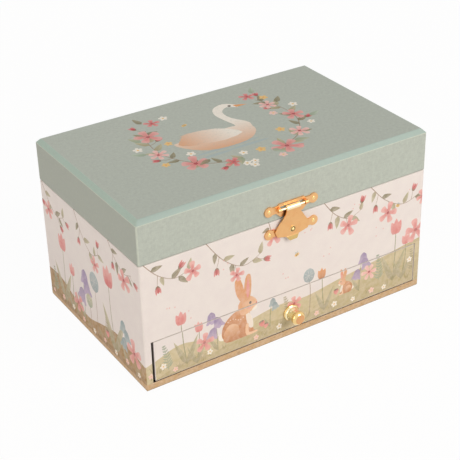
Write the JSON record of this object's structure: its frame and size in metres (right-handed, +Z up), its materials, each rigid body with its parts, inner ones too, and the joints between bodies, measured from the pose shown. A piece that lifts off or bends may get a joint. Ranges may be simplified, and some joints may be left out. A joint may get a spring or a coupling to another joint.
{
  "type": "ballerina jewellery box",
  "caption": "Paper-wrapped jewellery box with a hinged mirrored lid, hasp clasp, front drawer, felt-lined trays and a wind-up movement that turns a dancer.",
  "frame": {"origin": "middle of the base board's underside, on the surface that the box rests on", "axes": "+X to the right of someone facing the drawer, +Y towards the back, +Z up; the drawer and the clasp are on the -Y side"},
  "size_m": [0.18, 0.1388, 0.1],
  "materials": {
    "board": "grey-brown pressed board",
    "printed_paper": "matte printed paper",
    "linen_paper": "matte linen-embossed paper",
    "felt": "short soft felt",
    "velvet": "velvet over foam",
    "mirror_glass": "polished",
    "frame_card": "matte paper-faced card",
    "satin_brass": "satin stamped sheet",
    "bright_brass": "polished",
    "hinge_brass": "satin",
    "movement_steel": "plain",
    "movement_brass": "plain",
    "white_plastic": "gloss",
    "dancer_body": "painted",
    "net": "stiff net"
  },
  "bodies": {
    "case": {"case_bottom": "board", "case_left": "board", "case_right": "board", "case_back": "board", "case_front": "board", "deck": "board", "bay_wall": "board", "case_wrap": "printed_paper", "case_lining": "felt", "divider_long": "felt", "divider_cross": "felt", "music_cover": "felt", "ring_rolls": "velvet", "catch_plate": "satin_brass", "catch_nails": "bright_brass", "hinge_leaves_lower": "hinge_brass", "hinge_pins": "hinge_brass", "hinge_screws_lower": "hinge_brass", "stay_case_screw": "hinge_brass", "bedplate": "movement_steel", "comb": "movement_steel", "movement_screws": "movement_steel", "bridge": "movement_brass"},
    "lid": {"lid_top": "board", "lid_front": "board", "lid_back": "board", "lid_left": "board", "lid_right": "board", "lid_wrap": "linen_paper", "lid_lining": "felt", "mirror": "mirror_glass", "mirror_frame": "frame_card", "clasp_plate": "satin_brass", "clasp_nails": "bright_brass", "hasp_pin": "bright_brass", "hinge_leaves_upper": "hinge_brass", "hinge_screws_upper": "hinge_brass", "stay_lid_screw": "hinge_brass"},
    "hasp": {"hasp": "satin_brass", "hasp_rivet": "bright_brass"},
    "drawer": {"drawer_front": "board", "drawer_left": "board", "drawer_right": "board", "drawer_back": "board", "drawer_base": "board", "drawer_wrap": "printed_paper", "drawer_lining": "felt", "knob": "bright_brass", "knob_screw": "movement_steel"},
    "mainspring": {"spring_barrel": "movement_brass", "winding_key": "movement_brass"},
    "spindle": {"music_cylinder": "movement_brass", "spindle_cap": "white_plastic", "dancer_spring": "movement_steel", "dancer": "dancer_body", "tutu": "net"},
    "governor": {"governor": "movement_steel"},
    "plunger": {"stop_plunger": "movement_steel"},
    "stay": {"stay_arm": "hinge_brass"}
  },
  "joints": [
    {"name": "lid_hinge", "type": "hinge", "parent": "case", "child": "lid", "pos_m": [0, 0.058, 0.07515], "axis": [-1, 0, 0], "range_deg": [0, 100]},
    {"name": "hasp_hinge", "type": "hinge", "parent": "lid", "child": "hasp", "pos_m": [0, -0.0584, 0.0815], "axis": [-1, 0, 0], "range_deg": [0, 110]},
    {"name": "drawer_slide", "type": "slide", "parent": "case", "child": "drawer", "axis": [0, -1, 0], "range_m": [0, 0.06]},
    {"name": "barrel_spin", "type": "hinge", "parent": "case", "child": "mainspring", "pos_m": [0.062, 0.038, 0.0175], "axis": [0, 1, 0], "continuous": true},
    {"name": "dancer_spin", "type": "hinge", "parent": "case", "child": "spindle", "pos_m": [0.062, 0.0339, 0.036], "axis": [0, 0, 1], "continuous": true},
    {"name": "governor_spin", "type": "hinge", "parent": "case", "child": "governor", "pos_m": [0.072, 0.0339, 0.04], "axis": [0, 0, 1], "continuous": true},
    {"name": "plunger_lift", "type": "slide", "parent": "case", "child": "plunger", "axis": [0, 0, 1], "range_m": [0, 0.004]},
    {"name": "stay_swing", "type": "hinge", "parent": "lid", "child": "stay", "pos_m": [-0.0849, 0.03441, 0.07955], "axis": [-1, 0, 0], "range_deg": [-50, 0]}
  ],
  "couplings": [
    {"joint": "dancer_spin", "follows": "barrel_spin", "ratio": -3},
    {"joint": "governor_spin", "follows": "barrel_spin", "ratio": 9},
    {"joint": "plunger_lift", "follows": "lid_hinge", "m_per_rad": 0.0022},
    {"joint": "stay_swing", "follows": "lid_hinge", "ratio": -0.5}
  ]
}
